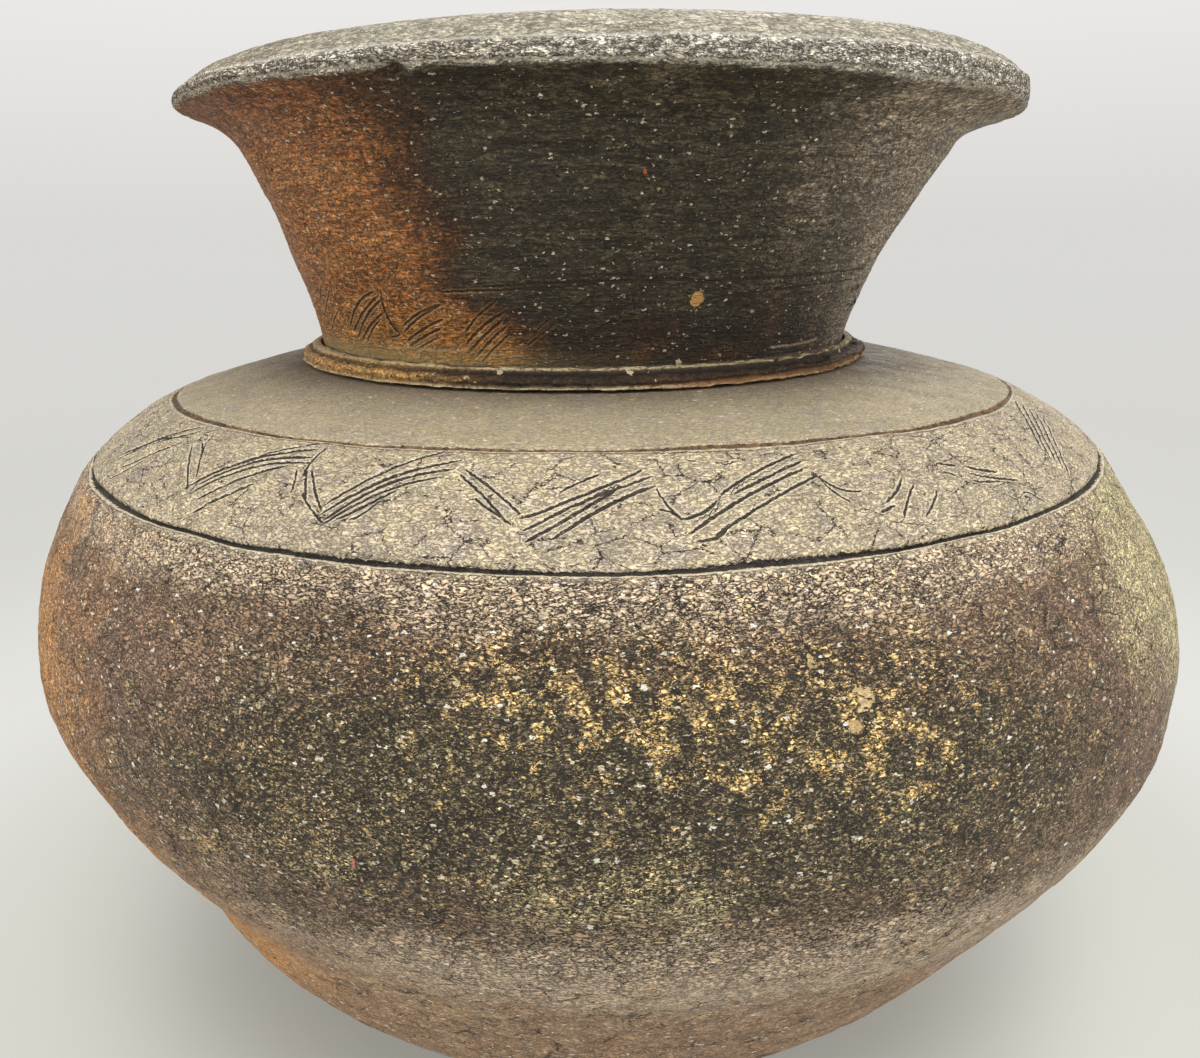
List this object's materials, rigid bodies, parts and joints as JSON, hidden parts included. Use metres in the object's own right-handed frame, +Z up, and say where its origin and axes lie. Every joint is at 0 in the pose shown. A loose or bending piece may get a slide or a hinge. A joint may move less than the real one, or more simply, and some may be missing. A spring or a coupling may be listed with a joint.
{
  "type": "stoneware jar",
  "caption": "Round-bellied stoneware storage jar with a small flat base, incised shoulder grooves, and a tall flared neck with an overhanging lip.",
  "frame": {"origin": "centre of the underside, on the surface that the jar stands on", "axes": "+Z up the jar's axis to the mouth; the face seen in the picture is towards -Y, with +X to its right"},
  "size_m": [0.33, 0.33, 0.2799],
  "materials": {
    "base_clay": "matt, sandy underside of unglazed stoneware",
    "lower_body_clay": "matt pinkish brown stoneware with pale grains",
    "belly_clay": "dark brown stoneware with golden ash flecks, dry to faintly satin",
    "shoulder_clay": "khaki ash-dusted stoneware, matt",
    "neck_clay": "orange-brown to black stoneware, brushed, matt",
    "lip_clay": "rough grey-white ash crust"
  },
  "bodies": {
    "root": {"base_disc": "base_clay", "foot_course": "lower_body_clay", "lower_wall_course": "lower_body_clay", "under_belly_course": "belly_clay", "belly_course": "belly_clay", "upper_belly_course": "belly_clay", "shoulder_course": "shoulder_clay", "shoulder_cap": "shoulder_clay", "neck_collar": "neck_clay", "neck_flare": "neck_clay", "neck_cordon": "neck_clay", "lip_band": "lip_clay"}
  },
  "joints": []
}
